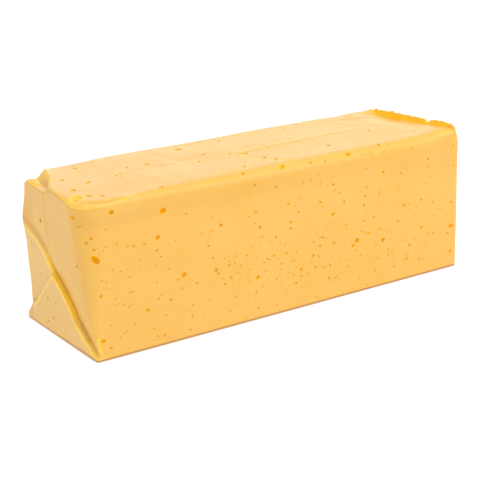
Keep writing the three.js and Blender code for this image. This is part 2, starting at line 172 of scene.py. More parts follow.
# Ridges, grooves and hollows of the surface, as places (x, y, z) on it, then height and width.
SCARS = [
    ([(-128.8, -36.4, 91.7), (-124, -39, 91.5), (-116, -40.1, 91.6), (-109.3, -40.9, 91.4)], -1.1, 0.8),
    ([(-130.5, -38.5, 90.8), (-126, -41.8, 90.2), (-117, -42.4, 90), (-107, -40.7, 91.5),
      (-101, -39.7, 92)], 0.6, 1),
    ([(-132.1, 30, 87.1), (-130.2, 26.5, 87.2), (-128.4, 23.5, 87.2)], -0.9, 0.9),
    ([(-132.1, 33.5, 87), (-128.4, 34.2, 87.7), (-125.7, 31, 88)], 0.6, 0.7),
    ([(-125.8, 40, 88), (-127.1, 25, 87.6), (-128.5, 17, 87.8), (-130.5, 13.6, 88.5)], -0.5, 0.9),
    ([(-121, -43.5, 81), (-105, -43.5, 83.5), (-60, -43.5, 84), (-28, -43.5, 84)], -0.3, 3),
    ([(-130.1, -42.8, 13.5), (-129.6, -42.8, 9.5), (-128.6, -42.9, 4)], 0.7, 0.9),
    ([(-128.7, -43.4, 13.5), (-128, -43.5, 10), (-127.7, -43.4, 6.5)], -0.8, 0.8),
    ([(130.4, 7, 91.2), (130.6, 3.5, 91.4)], 0.9, 1.3),
    ([(-123, 33, 91.6), (-126.5, 29.5, 88.4)], 0.3, 0.8),
    ([(-124, 25, 91.6), (-127.5, 21, 88)], -0.6, 0.7),
    ([(-126.3, 16.5, 91.8), (-128.5, 13.5, 89)], -0.6, 0.7),
]

# A ridge higher than this gets a painted highlight in the edge's colour, and a groove deeper than this gets
# painted bounce light, rich in colour.
SCAR_TINT_HEIGHT = 0.5

# The small curl of cheese on the top's near corner at -X: its middle, for each part the distance
# from the middle, the height and the width, then the way that it is longer and how much.
CURL_PLACE = (-131, -28.5, 92.1)
CURL_PARTS = {"rim": (3.7, 0.8, 0.9), "groove": (2, -1.2, 0.9), "knob": (0, 0.6, 0.9)}
CURL_WAY = (0.55, 0.83, 0)
CURL_STRETCH = 1.35

# Places of the grid lines of the fine mesh: from, to, and the steps between.
X_LINES = [(-HALF, -HALF + 4.2, 8), (-HALF + 4.2, -HALF + 26, 36), (-HALF + 26, HALF - 32, 116),
           (HALF - 32, HALF - 6, 20), (HALF - 6, HALF, 18)]
Y_LINES = [(-SIDE, -SIDE + FOOT_RADIUS, 2), (-SIDE + FOOT_RADIUS, SIDE - FOOT_RADIUS, 118),
           (SIDE - FOOT_RADIUS, SIDE, 2)]
Z_LINES = [(0, FOOT_RADIUS, 2), (FOOT_RADIUS, HEIGHT, 128)]

# The foot's small faces: how many rows of them there are round its edge, and how many more lines its
# ends take in.
FOOT_RIM = {"left": 8, "right": 6, "side": 2}
FOOT_INSET = 10

# The gas pits that are placed one by one: two places on the pit's face, then its width. Those on the top
# are wider by TOP_PIT_STRETCH.
NEAR_PITS = [
    (-127, 60.5, 4.3), (-115.5, 86.5, 3), (-86, 81, 4), (-74, 40, 3.1), (-90, 66, 2.8), (-127, 39, 2.1),
    (-48, 65, 2.3), (-52, 38, 2.3), (-98, 24, 2.2), (-23, 27, 2.4), (-21, 58, 2.1), (9, 25, 2.3),
    (34, 37, 2.2), (52, 35, 3.4), (49, 32, 2.2), (73, 31, 3.1), (105, 33, 2.2), (128.5, 29, 3.2),
    (128.5, 11, 2.5), (72, 76, 2.1), (33, 56, 2.1), (-129.5, 12, 2.6), (33, 75, 1.8), (1, 57, 1.8),
    (1, 53, 1.8), (-42, 31, 1.9), (-43, 39, 1.8), (-46, 28, 1.6), (-11, 38, 1.8), (-2, 38, 1.6),
    (18, 32, 2), (90, 51, 1.9), (70, 39, 1.8), (61, 38, 1.8), (-125.5, 7, 1.9), (-83, 27, 1.7),
    (58, 63, 1.8), (57, 57, 1.8), (-57, 54, 1.7), (69, 62, 1.4), (-105, 64, 1.7), (-78, 38, 1.6),
    (-120.5, 67, 1), (-122, 65, 0.9), (-114.5, 67.5, 1.5), (-108.5, 65, 1.1), (-118, 53, 1),
    (-113.5, 51, 1.3), (-108.5, 46.5, 1.3), (-121, 42, 1), (-123.5, 43, 1), (-118.5, 35.5, 1.2),
    (-118.5, 32, 1), (-113.5, 31, 1.4), (-107.5, 37.5, 1.2), (-122.5, 20.5, 1.2), (-115, 13.5, 1.3),
    (-118, 12, 1), (-125, 48, 1.2), (74, 90, 1.4), (57, 91.5, 1.3), (63.5, 91.5, 1.2), (71.5, 76.5, 1.6),
    (108.5, 78.5, 1.6), (128.5, 83.5, 1.4), (108, 73, 1.3), (95.5, 88, 1.4), (31, 23, 1.6), (-88, 6, 1.6),
    (21.5, 83.5, 1.4), (23, 77, 1.4), (37.5, 69, 1.6), (10.5, 80.5, 1.4), (-9.5, 81, 1.8),
    (-24, 85.5, 1.6), (23, 65.5, 1.8), (41.5, 62.5, 1.8), (-0.5, 69, 1.4), (-24, 68.5, 1.6), (7, 62, 1.4),
    (-9.5, 49.5, 1.7), (25, 42.5, 1.6), (23, 37.5, 1.6), (85, 41, 1.7), (104, 52, 1.5), (113, 48.5, 1.4),
    (128, 45.5, 1.8), (110.5, 27.5, 1.4), (114.5, 27, 1.4), (126, 24.5, 1.7), (95.5, 23, 1.7),
    (77.5, 20.5, 1.5), (81, 16, 1.4), (94, 14, 1.5), (104, 11, 1.5), (19.5, 24, 1.6), (9, 21, 1.6),
    (5, 17, 1.6), (30.5, 14.5, 1.7), (32.5, 22.5, 1.3), (-24, 17.5, 1.5), (43, 47, 1.4), (28.5, 92, 1.6),
    (-71, 5, 1.6), (-132, 70.5, 1.6), (-128, 73, 1.7), (-127, 66.5, 1.5),
]
TOP_PITS = [
    (-34.5, 26.5, 3.6), (-105, 27.5, 2.4), (-121.5, 9, 2.6), (-111.5, -4.5, 2.6), (-123.5, -14, 3),
    (-120.5, -28, 3), (-115, -32, 2.6), (-67, 8, 2.7), (-28, 7.5, 2.3), (-2, -41, 2.8), (47, -41.5, 2.4),
    (-38, -4, 2), (-79.5, 10, 1.8), (-89, 0.5, 2), (-92.5, -1.5, 1.6), (-13.5, 35, 1.6), (-3, 29, 1.6),
    (-5.5, -5.5, 2), (-14, -1, 1.8), (-2, -20.5, 2.2), (1.5, -28, 2), (73.5, -37, 2), (46, -21, 2),
    (-83, -37.5, 2), (-22.5, -30, 1.8), (61, 34.5, 1.8), (18, -43, 1.6), (-29.5, -39.5, 1.8),
    (88.5, -8, 1.4),
]
END_PITS = [
    (15, 69, 2.8), (-35, 85, 2.4), (-33, 55.5, 2.2), (-40.5, 80, 1.7), (11, 22, 1.7), (0.5, 22.5, 1.5),
    (5.5, 11.5, 1.8), (13.5, 6.5, 1.6), (33, 50.5, 1.5), (24, 33, 1.5), (28, 73.5, 1.3), (16, 4.5, 1.2),
]
TOP_PIT_STRETCH = 1.15

# Pits wider than this are cut with finer balls.
LARGE_PIT = 2

# In metres: how high the loaf's foot reaches, how far out from it the painted contact shadow on the floor is
# at its darkest, from and to, and how far the floor lies below the loaf.
FOOT_HEIGHT = 0.0006
CONTACT_SHADOW_LINE = (-0.002, 0.0002)
FLOOR_GAP = 0.0002

# Where each softbox is as seen from the loaf, with angles in degrees, and its size.
SOFTBOXES = {
    "top": {"azimuth": -20, "elevation": 80, "distance": 1.1, "size": 0.9},
    "front": {"azimuth": 30, "elevation": 48, "distance": 1.3, "size": 0.8},
    "back": {"azimuth": 147, "elevation": 22, "distance": 1.6, "size": 1.4},
}

# Width of the camera's sensor in millimetres.
SENSOR_WIDTH = 36


class Wire:
    """A socket of a shader node. Arithmetic on it adds the Math nodes that do it."""

    def __init__(self, recipe, socket):
        self.recipe = recipe
        self.socket = socket

    def __add__(self, other):
        return self.recipe.maths("ADD", self, other)

    def __sub__(self, other):
        return self.recipe.maths("SUBTRACT", self, other)

    def __rsub__(self, other):
        return self.recipe.maths("SUBTRACT", other, self)

    def __mul__(self, other):
        return self.recipe.maths("MULTIPLY", self, other)

    __radd__ = __add__
    __rmul__ = __mul__


class Recipe:
    """The node tree of one material or world."""

    def __init__(self, owner):
        owner.use_nodes = True
        self.tree = owner.node_tree
        self.tree.nodes.clear()

    @staticmethod
    def socket(sockets, name):
        """The socket with a number, or the one in use with a name."""
        if isinstance(name, int):
            return sockets[name]
        return next(socket for socket in sockets if socket.name == name and socket.enabled)

    def node(self, kind, settings=None, sockets=None, output=0):
        """Adds a node, sets its settings, then its sockets, and gives one of its outputs."""
        made = self.tree.nodes.new(kind)
        for name, value in (settings or {}).items():
            setattr(made, name, value)
        for name, value in (sockets or {}).items():
            socket = self.socket(made.inputs, name)
            if isinstance(value, Wire):
                self.tree.links.new(value.socket, socket)
            else:
                socket.default_value = value
        return Wire(self, self.socket(made.outputs, output)) if made.outputs else made

    def maths(self, operation, *values):
        """A Math node on two values."""
        return self.node("ShaderNodeMath", {"operation": operation}, dict(enumerate(values)))

    def limit(self, value):
        """The value kept between 0 and 1."""
        return self.node("ShaderNodeClamp", None, {"Value": value})

    def greater(self, first, second):
        """The greater of two values."""
        return self.maths("MAXIMUM", first, second)

    def blend(self, share, first, second):
        """A colour between two, as far along as share says."""
        return self.node("ShaderNodeMix", {"data_type": "RGBA"},
                         {"Factor": share, "A": first, "B": second}, "Result")

    def attribute(self, name):
        """A number that the mesh holds for each place."""
        return self.node("ShaderNodeAttribute", {"attribute_name": name}, None, "Fac")

    def noise(self, place, scale, detail=2.0, roughness=0.5):
        """Soft noise from 0 to 1, scale to the metre."""
        return self.node("ShaderNodeTexNoise", None, {
            "Vector": place, "Scale": scale, "Detail": detail, "Roughness": roughness})


def opaque(colour):
    """A colour with its alpha."""
    return (*colour, 1)


def ease(value, low, high):
    """0 below low, 1 above high, and smooth between."""
    share = np.clip((value - low) / (high - low), 0, 1)
    return share * share * (3 - 2 * share)


def mix(first, second, share):
    """A value between two."""
    return first + (second - first) * share


def hill(distance, width):
    """1 at no distance, and falling off over width."""
    return np.exp(-((distance / width) ** 2))


def along(places, value):
    """Value at a place in a list of places and values."""
    return np.interp(value, *zip(*places))


def distance_to(line, a, b):
    """Distance to a line of straight stretches, positive on the left of the way that it runs."""
    nearest = np.full(np.shape(a), np.inf)
    side = np.ones(np.shape(a))
    for (a0, b0), (a1, b1) in zip(line, line[1:]):
        da, db = a1 - a0, b1 - b0
        share = np.clip(((a - a0) * da + (b - b0) * db) / (da * da + db * db), 0, 1)
        distance = np.hypot(a - a0 - share * da, b - b0 - share * db)
        closer = distance < nearest
        nearest = np.where(closer, distance, nearest)
        side = np.where(closer, np.where(da * (b - b0) - db * (a - a0) >= 0, 1, -1), side)
    return nearest * side


def rounded(q):
    """Places on the plain block moved onto its rounded edges, and the way out of it there."""
    x, y, z = q.T
    near = 1 - ease(y, -SIDE, -SIDE + CORNER_REACH)
    left = 1 - ease(x, -HALF, -HALF + CORNER_REACH)
    right = ease(x, HALF - CORNER_REACH / 2, HALF - FAR_RADIUS)
    high = ease(z, HEIGHT / 3, HEIGHT - 15)
    upright = along(NEAR_UPRIGHT_RADIUS, z)
    near_top = along(NEAR_TOP_RADIUS, x)
    end_top = along(END_TOP_RADIUS, y)
    end_x = mix(mix(BACK_UPRIGHT_RADIUS, end_top, high), upright, near)
    long_y = mix(FOOT_RADIUS, np.where(y < 0, near_top, BACK_TOP_RADIUS), high)
    corner_y = np.where(y < 0, upright, BACK_UPRIGHT_RADIUS)
    top_z = mix(mix(BACK_TOP_RADIUS, near_top, near), end_top, left)
    rx = np.where(x < 0, end_x, FAR_RADIUS)
    ry = mix(long_y, corner_y, left)
    rz = np.where(z < HEIGHT / 2, FOOT_RADIUS, mix(top_z, FIN_RADIUS, right * (1 - near)))
    radius = np.stack([rx, ry, rz], axis=1)
    lowest = np.array([-HALF, -SIDE, 0]) + radius
    highest = np.array([HALF, SIDE, HEIGHT]) - radius
    core = np.clip(q, lowest, highest)
    out = (q - core) / radius
    out /= np.linalg.norm(out, axis=1, keepdims=True)
    return core + radius * out, out


def upper_flap(y, z, over):
    """How far the end stands out above the long fold. The distance above that fold is given as over."""
    inside = 1 - ease(y, SIDE - 14, SIDE)
    deep = inside * mix(0.55, 1, ease(-y, -12, 12)) * mix(0.55, 1, ease(z, 4, 26))
    crease = distance_to(UPRIGHT_CREASE, y, z)
    hollow = -1.7 * deep * np.exp(-np.maximum(over, 0) / 5)
    groove = -0.6 * deep * np.exp(-np.maximum(over, 0) / 0.9)
    swell = 0.5 * hill(over - 16, 9)
    seam = 0.3 * hill(crease - 0.6, 0.8) - 0.3 * hill(crease + 1.2, 1)
    return hollow + groove + swell + seam


def lower_flaps(y, z, over):
    """How far the two flaps under the long fold stand out. Under that fold, over is negative."""
    inside = 1 - ease(y, SIDE - 14, SIDE)
    rim = hill(over + 1.2, 1.4) * inside
    low = ease(FOLD_TOP - z, 0, FOLD_TOP - 15)
    middle_flap = 0.5 * rim - 2 * low * low * ease(-over, 1, 22)

    tucked_corner = -4.4 * ease(y, 28, SIDE) * ease(z, 1, 11)
    bottom_flap = 0.3 * rim + 0.8 + 0.6 * ease(z, 0, 12) + tucked_corner
    welt = distance_to(FLAP_WELT, y, z)
    behind_welt = ease(-welt, -0.6, 0.2) * (1 - ease(z, 18, 22))
    bumps = 0.6 + 0.4 * np.sin(y * 1.9) * np.sin(z * 1.3 + 1)
    bottom_flap = bottom_flap + 0.7 * bumps * hill(welt, 0.8) - 0.5 * behind_welt

    over_short = -distance_to(SHORT_FOLD, y, z)
    reached = 1 - ease(z, FOLD_JUNCTION - 2, FOLD_JUNCTION + 2)
    short_rim = (0.7 * hill(over_short - 0.9, 1) - 0.3 * hill(over_short + 0.9, 0.8)) * reached
    return mix(middle_flap, bottom_flap + short_rim, ease(over_short, -0.7, 0.2) * reached)


def end_reach(y, z):
    """How far the end at -X stands out at (y, z), with its flaps folded over each other."""
    across = np.clip((y + SIDE) / WIDTH, 0, 1)
    up = np.clip(z / HEIGHT, 0, 1)
    near = mix(END_CORNERS["near_foot"], END_CORNERS["near_head"], up)
    back = mix(END_CORNERS["back_foot"], END_CORNERS["back_head"], up)
    twist = mix(near, back, across)
    knee = 2 * hill(z - FOLD_TOP, 9) * ease(y, SIDE - 20, SIDE)
    over = -distance_to(LONG_FOLD, y, z)
    above = ease(over, -0.4 - 3.4 * ease(y, SOFT_FROM, SOFT_TO), 0.2)
    return twist + knee + mix(lower_flaps(y, z, over), upper_flap(y, z, over), above)


def far_reach(y, z):
    """How far the end at +X stands out. Its folds are low and leave its near edge straight."""
    fade = ease(y, -SIDE, -SIDE + 12) * (1 - ease(y, SIDE - 6, SIDE))
    fold = distance_to(FAR_LONG_FOLD, y, z)
    short_fold = distance_to(FAR_SHORT_FOLD, y, z)
    step = 1.4 * ease(-fold, -0.4, 0.4) * np.exp(-np.maximum(-fold, 0) / 40)
    under = -ease(-short_fold, -0.4, 0.4) * ease(-fold, 0, 4)
    edge = mix(FAR_NEAR_EDGE["foot"], FAR_NEAR_EDGE["head"], np.clip(z / HEIGHT, 0, 1))
    straight = edge * (1 - ease(y, -SIDE, SIDE))
    notch = 1.5 * hill(z - 90.5, 3) * (1 - ease(y, -SIDE + 4, -SIDE + 14))
    return straight - notch + fade * (step + under - 1.4 - 1.2 * hill(fold, 2.2))


def fin_share(x):
    """1 on the fin along the top edge at +X, and 0 in front of it."""
    return ease(x - HALF + FIN_WIDTH, -0.4, 0.5)


def fin_rise(y):
    """How far the ragged top of the fin stands above the plain block."""
    ragged = 0.35 * np.sin(y * 1.1) * np.sin(y * 0.37 + 2)
    for place, height, width in FIN_TIPS:
        ragged = ragged + height * hill(y - place, width)
    return along(FIN_RISE, y) + ragged


def top_lift(x, y):
    """How far the top stands above the plain block at (x, y)."""
    ahead = HALF - FIN_WIDTH - x
    fin = fin_share(x)
    sink = along(SINK_DEPTH, y) * (1 - ease(ahead, 1, SINK_LENGTH)) * (1 - fin)
    gap = FIN_GAP["depth"] * hill(y - FIN_GAP["y"], FIN_GAP["width"]) * ease(-ahead, -1.5, 0)
    dent = along(DENT_DEPTH, y) * (1 - ease((x - along(DENT_WALL, y)) / along(DENT_SLOPE, y), -1, 0))
    waves = WAVE_HEIGHT * np.sin(x / 21 + y / 15) * np.cos(y / 13 - x / 47) * ease(ahead, 0, 30)
    marks = sum(height * hill(distance_to(line, x, y), width)
                for line, height, width in TOP_SEAMS + TOP_WRINKLES)
    low_back = along(LOW_BACK, x) * ease(y, 15, SIDE)
    return marks - low_back + waves - WAVE_HEIGHT + fin_rise(y) * fin - sink - gap - dent


def on_loaf(q):
    """Places on the plain block's surface moved to where the loaf's surface is, and the way out."""
    p, out = rounded(q)
    x, z = q[:, 0], q[:, 2]
    at_end = 1 - ease(x, -HALF, -HALF + END_REACH)
    at_far = ease(x, HALF - END_REACH, HALF)
    at_top = ease(z, HEIGHT - 24, HEIGHT - 5)
    px, py, pz = p.T
    lift = top_lift(px, py) * at_top
    shift = far_reach(py, pz) * at_far - end_reach(py, pz) * at_end
    return np.stack([px + shift, py, pz + lift], axis=1), out


def distance_in_space(line, p):
    """Distance of each place to a line of straight stretches in space."""
    nearest = np.full(len(p), np.inf)
    line = np.array(line, float)
    for start, end in zip(line, line[1:]):
        way = end - start
        share = np.clip((p - start) @ way / (way @ way), 0, 1)
        nearest = np.minimum(nearest, np.linalg.norm(p - start - share[:, None] * way, axis=1))
    return nearest


def from_curl(p):
    """Distance of each place to the middle of the curl, less along its longer way."""
    away = p - CURL_PLACE
    longer = away @ CURL_WAY
    return np.linalg.norm(away - np.outer(longer * (1 - 1 / CURL_STRETCH), CURL_WAY), axis=1)


def scarred(p, out):
    """Places on the loaf moved out or in by its ridges, grooves and hollows."""
    distance = from_curl(p)
    away = sum(height * hill(distance - reach, width) for reach, height, width in CURL_PARTS.values())
    for line, height, width in SCARS:
        away = away + height * hill(distance_in_space(line, p), width)
    return p + out * away[:, None]


def grid_lines(stretches):
    """Places of the grid lines along one direction."""
    parts = [np.linspace(low, high, count, endpoint=False) for low, high, count in stretches]
    return np.append(np.concatenate(parts), stretches[-1][1])


def block_surface():
    """The plain block's surface as places and faces. The flat of its foot has only wide faces."""
    lines = [grid_lines(stretches) for stretches in (X_LINES, Y_LINES, Z_LINES)]
    nx, ny, nz = (len(places) - 1 for places in lines)
    last = (nx, ny, nz)
    low_x, high_x = FOOT_RIM["left"], nx - FOOT_RIM["right"]
    low_y, high_y = FOOT_RIM["side"], ny - FOOT_RIM["side"]

    def keys(i, j, k):
        return (np.asarray(i) * (ny + 1) + j) * (nz + 1) + k

    quads = []
    for axis in range(3):
        u, v = (axis + 1) % 3, (axis + 2) % 3
        i, j = np.meshgrid(np.arange(last[u]), np.arange(last[v]), indexing="ij")
        for at_far_side in (False, True):
            keep = np.ones(i.shape, bool)
            if axis == 2 and not at_far_side:
                keep = (i < low_x) | (j < low_y) | (i >= high_x) | (j >= high_y)
            corners = []
            for di, dj in ((0, 0), (1, 0), (1, 1), (0, 1)):
                place = [None, None, None]
                place[axis] = np.full(keep.sum(), last[axis] if at_far_side else 0)
                place[u] = i[keep] + di
                place[v] = j[keep] + dj
                corners.append(keys(*place))
            quads.append(np.stack(corners if at_far_side else corners[::-1], axis=1))
    quads = np.concatenate(quads)

    spans = np.arange(low_x + FOOT_INSET, high_x - FOOT_INSET)
    strips = np.stack([keys(spans, low_y, 0), keys(spans, high_y, 0), keys(spans + 1, high_y, 0),
                       keys(spans + 1, low_y, 0)], axis=1)
    across = np.arange(low_y + 1, high_y)
    inward = np.arange(FOOT_INSET + 1)
    left = np.concatenate([keys(low_x + inward[::-1], low_y, 0), keys(low_x, across, 0),
                           keys(low_x + inward, high_y, 0)])
    right = np.concatenate([keys(high_x - inward[::-1], high_y, 0), keys(high_x, across[::-1], 0),
                            keys(high_x - inward, low_y, 0)])

    used, quads = np.unique(np.concatenate([quads, strips]), return_inverse=True)
    quads = quads.reshape(-1, 4)
    ends = [np.searchsorted(used, path).tolist() for path in (left, right)]
    k = used % (nz + 1)
    j = used // (nz + 1) % (ny + 1)
    i = used // ((nz + 1) * (ny + 1))
    q = np.stack([lines[0][i], lines[1][j], lines[2][k]], axis=1)
    return q, quads.tolist() + ends


def pit_places(shape):
    """Every pit as its place on the plain block and its width, the widest first, and none on another."""
    draw = np.random.default_rng(shape.seed)
    rows = [(x, -SIDE, z, width) for x, z, width in NEAR_PITS]
    rows += [(x, y, HEIGHT, TOP_PIT_STRETCH * width) for x, y, width in TOP_PITS]
    rows += [(-HALF, y, z, width) for y, z, width in END_PITS]

    def small(largest):
        return mix(0.6, largest, draw.random() ** 2.5)

    def spread(count, largest, place):
        for _ in range(count):
            rows.append((*place(draw.random(), draw.random()), small(largest)))

    low = HEIGHT - 12
    spread(shape.near_pits, 1.5, lambda a, b: (mix(-HALF + 8, HALF - 4, a), -SIDE, mix(3, low, b ** 1.25)))
    spread(shape.near_pits // 2, 1.3, lambda a, b: (mix(-60, 100, a), -SIDE, mix(12, 52, b)))
    spread(shape.top_pits, 1.4,
           lambda a, b: (mix(-HALF + 8, HALF - 12, a), mix(-SIDE + 8, SIDE - 8, b), HEIGHT))
    spread(shape.end_pits, 1.2, lambda a, b: (-HALF, mix(-SIDE + 8, SIDE - 6, a), mix(4, low, b)))
    spread(shape.back_pits, 3.4, lambda a, b: (mix(-HALF + 8, HALF - 6, a), SIDE, mix(4, low, b)))
    spread(shape.end_pits, 2, lambda a, b: (HALF, mix(-SIDE + 6, SIDE - 6, a), mix(6, low - 6, b)))

    kept = []
    for row in sorted(rows, key=lambda row: -row[3]):
        if all(math.dist(row[:3], other[:3]) > 0.75 * (row[3] + other[3]) for other in kept):
            kept.append(row)
    return np.array(kept)


def ball(detail):
    """Corners and faces of a ball of radius 1."""
    mesh = bmesh.new()
    bmesh.ops.create_icosphere(mesh, subdivisions=detail, radius=1)
    corners = np.array([v.co for v in mesh.verts])
    faces = np.array([[v.index for v in f.verts] for f in mesh.faces])
    mesh.free()
    return corners, faces


def pit_balls(shape):
    """The balls that leave the pits: one mesh's places and faces, and each ball's turn, size and centre."""
    rows = pit_places(shape)
    draw = np.random.default_rng(shape.seed + 1)
    centres, out = on_loaf(rows[:, :3])
    centres = scarred(centres, out)
    balls = {True: ball(3), False: ball(2)}
    places, faces, turns = [], [], []
    count = 0
    for centre, way, width in zip(centres, out, rows[:, 3]):
        corners, sides = balls[bool(width > LARGE_PIT)]
        level = Vector(way).cross(Vector((0, 0, 1)) if abs(way[2]) < 0.7 else Vector((0, 1, 0))).normalized()
        spin = Matrix.Rotation(draw.normal(0, 0.5), 3, Vector(way))
        first = spin @ level
        turn = np.array([first, Vector(way).cross(first), way])
        stretch = [draw.uniform(1.0, 1.35), draw.uniform(0.85, 1.0), draw.uniform(0.8, 1.1)]
        size = width / 2 * np.array(stretch)
        middle = centre - way * size[2] * draw.uniform(0.0, 0.25)
        places.append((corners * size) @ turn + middle)
        faces.append(sides + count)
        turns.append((turn, size, middle))
        count += len(corners)
    return np.concatenate(places), np.concatenate(faces).tolist(), turns


def mesh_of(name, places, faces):
    """A mesh from places in millimetres and faces."""
    mesh = bpy.data.meshes.new(name)
    mesh.from_pydata((places * MM).tolist(), [], faces)
    mesh.update()
    return mesh


def new_object(name, data):
    """An object in the scene."""
    made = bpy.data.objects.new(name, data)
    bpy.context.scene.collection.objects.link(made)
    return made


def fitted(places):
    """The stretch and the step that set places exactly into the box of the solid."""
    low, high = (np.array(corner) / MM for corner in LOAF_BOX)
    lowest, highest = places.min(axis=0), places.max(axis=0)
    stretch = (high - low) / (highest - lowest)
    return stretch, low - lowest * stretch


def cut_pits(loaf, cutter):
    """Cuts the balls out of the loaf's mesh and deletes them."""
    boolean = loaf.modifiers.new("pits", "BOOLEAN")
    boolean.operation = "DIFFERENCE"
    boolean.solver = "MANIFOLD"
    boolean.object = cutter
    view = bpy.context.evaluated_depsgraph_get()
    cut = bpy.data.meshes.new_from_object(loaf.evaluated_get(view))
    loaf.modifiers.clear()
    plain, loaf.data = loaf.data, cut
    cut.name = LOAF_NAME
    bpy.data.meshes.remove(plain)
    balls = cutter.data
    bpy.data.objects.remove(cutter)
    bpy.data.meshes.remove(balls)
    return cut


def mark_pits(mesh, turns):
    """Writes how deep in a pit each face lies, 0 outside the pits, on the face's corners."""
    count = len(mesh.polygons)
    centres = np.empty(count * 3)
    mesh.polygons.foreach_get("center", centres)
    centres = centres.reshape(-1, 3) / MM
    depth = np.zeros(count)
    order = np.argsort(centres[:, 0])
    sorted_x = centres[order, 0]
    for turn, size, middle in turns:
        reach = size.max()
        first, final = np.searchsorted(sorted_x, [middle[0] - reach, middle[0] + reach])
        nearby = order[first:final]
        local = (centres[nearby] - middle) @ turn.T / size
        inside = np.linalg.norm(local, axis=1) < 0.999
        # The depth sets how much painted shade and bounce light a pit gets: more deeper in and in wider
        # pits.
        depth[nearby[inside]] = np.clip(0.45 - 0.55 * local[inside, 2], 0.2, 1) * min(1, 0.55 + size[0] / 4)
    loops = np.empty(count, np.int32)
    mesh.polygons.foreach_get("loop_total", loops)
    write_floats(mesh, "pit", "CORNER", np.repeat(depth, loops))


class PaintedLight:
    """How much of each tint every corner of a mesh has, from 0 for none.

    All are painted light and shade: rich is painted bounce light in grooves and under thin cheese, edge a
    painted highlight and glow on rims and rounded edges, shade painted shade in hollows and at the foot, and
    flap a paler painted sheen on the flaps under the long fold.
    """

    def __init__(self, count):
        self.shares = {name: np.zeros(count) for name in ("rich", "edge", "shade", "flap")}

    def lay(self, name, share):
        """Lays a share over what is there. The greater one counts."""
        self.shares[name] = np.maximum(self.shares[name], share)


def end_share(x):
    """1 on the end at -X, and 0 further in."""
    return 1 - ease(x, -HALF + 8, -HALF + 14)


def paint_fold_light_and_shade(tints, x, y, z):
    """Painted light and shade on the end at -X: bounce light on the long fold's wall and along the welt,
    highlights on the rims of the folds, the welt and the crease, shade in the hollows beside them, and a
    paler painted sheen on the flaps under the long fold.
    """
    at_end = end_share(x)
    over = -distance_to(LONG_FOLD, y, z)
    over_short = -distance_to(SHORT_FOLD, y, z)
    crease = distance_to(UPRIGHT_CREASE, y, z)
    welt = distance_to(FLAP_WELT, y, z)
    soft = ease(y, SOFT_FROM, SOFT_TO)
    above = ease(over, -0.5, 0.5)
    at_flaps = at_end * (1 - above)
    at_short = at_flaps * (1 - ease(z, FOLD_JUNCTION, FOLD_JUNCTION + 2))
    at_crease = at_end * above * (1 - ease(z, 86, 90))

    wall = hill(over + 0.6 + 1.2 * soft, 0.7) * mix(0.25, 1, ease(z, 17, 23)) * mix(1, 0.2, ease(y, 9, 18))
    tints.lay("rich", wall * at_end)
    tints.lay("rich", hill(welt, 0.7) * at_flaps)
    tints.lay("edge", hill(over + 1.9 + 2.6 * soft, 0.9) * ease(z, 16, 22) * at_end)
    tints.lay("edge", 0.8 * hill(welt - 1.3, 0.8) * at_flaps)
    tints.lay("edge", 0.7 * hill(over_short - 0.9, 0.8) * at_short)
    tints.lay("edge", 0.4 * hill(crease - 0.5, 0.7) * at_crease)
    tints.lay("shade", hill(over - 0.3, 0.6) * ease(z, 0, 32) * at_end)
    tints.lay("shade", hill(over - 1, 2.1) * soft * at_end)
    tints.lay("shade", 0.5 * hill(over_short + 1, 0.8) * at_short)
    tints.lay("shade", 0.3 * hill(crease + 1.1, 0.6) * at_crease)
    tints.lay("flap", at_flaps)


def paint_dent_light_and_shade(tints, x, y, z):
    """Painted highlights on the dent's wall and on the rim above it, and painted shade at its foot."""
    past_wall = x - along(DENT_WALL, y)
    at_dent = ease(z, 85, 86) * ease(y, 6, 11)
    wall = ease(past_wall, -10, -6) * (1 - ease(past_wall, -1, 1)) * ease(y, 18, 28) * ease(z, 86, 88)
    tints.lay("edge", hill(past_wall + 0.6, 0.9) * at_dent)
    tints.lay("edge", 0.7 * wall)
    tints.lay("shade", 0.4 * hill(past_wall + 3.4, 1.2) * at_dent)


def paint_long_side_shade(tints, x, y, z):
    """Painted shade in the hollow under the near top edge, wider towards +X, and a painted contact shadow on
    the loaf's foot.
    """
    right = ease(x, 60, 130)
    tints.lay("shade", 0.25 * hill(z - 82 + 6 * right, 5 + 6 * right) * ease(-y, 40, 42))
    tints.lay("shade", 1.4 * (1 - ease(z, 0.3, 1.4)))


def paint_mark_light_and_shade(tints, p):
    """Painted light and shade on the seams of the top, the scars and the curl: bounce light along the seams,
    in deep grooves and in the curl's hollow, and highlights on high ridges, the curl's rim and its knob.
    """
    x, y, z = p.T
    for line, _, _ in TOP_SEAMS:
        tints.lay("rich", 0.35 * hill(distance_to(line, x, y), 0.9) * ease(z, HEIGHT - 4, HEIGHT - 3))
    for line, height, width in SCARS:
        if height < -SCAR_TINT_HEIGHT:
            tints.lay("rich", hill(distance_in_space(line, p), width * 0.9))
        elif height > SCAR_TINT_HEIGHT:
            tints.lay("edge", hill(distance_in_space(line, p), width))
    distance = from_curl(p)
    groove = hill(distance - CURL_PARTS["groove"][0], 1)
    tints.lay("rich", groove * ease(y - CURL_PLACE[1], -1, 1.2))
    tints.lay("edge", 0.8 * hill(distance - CURL_PARTS["rim"][0], 0.9))
    tints.lay("edge", hill(distance, 0.9))


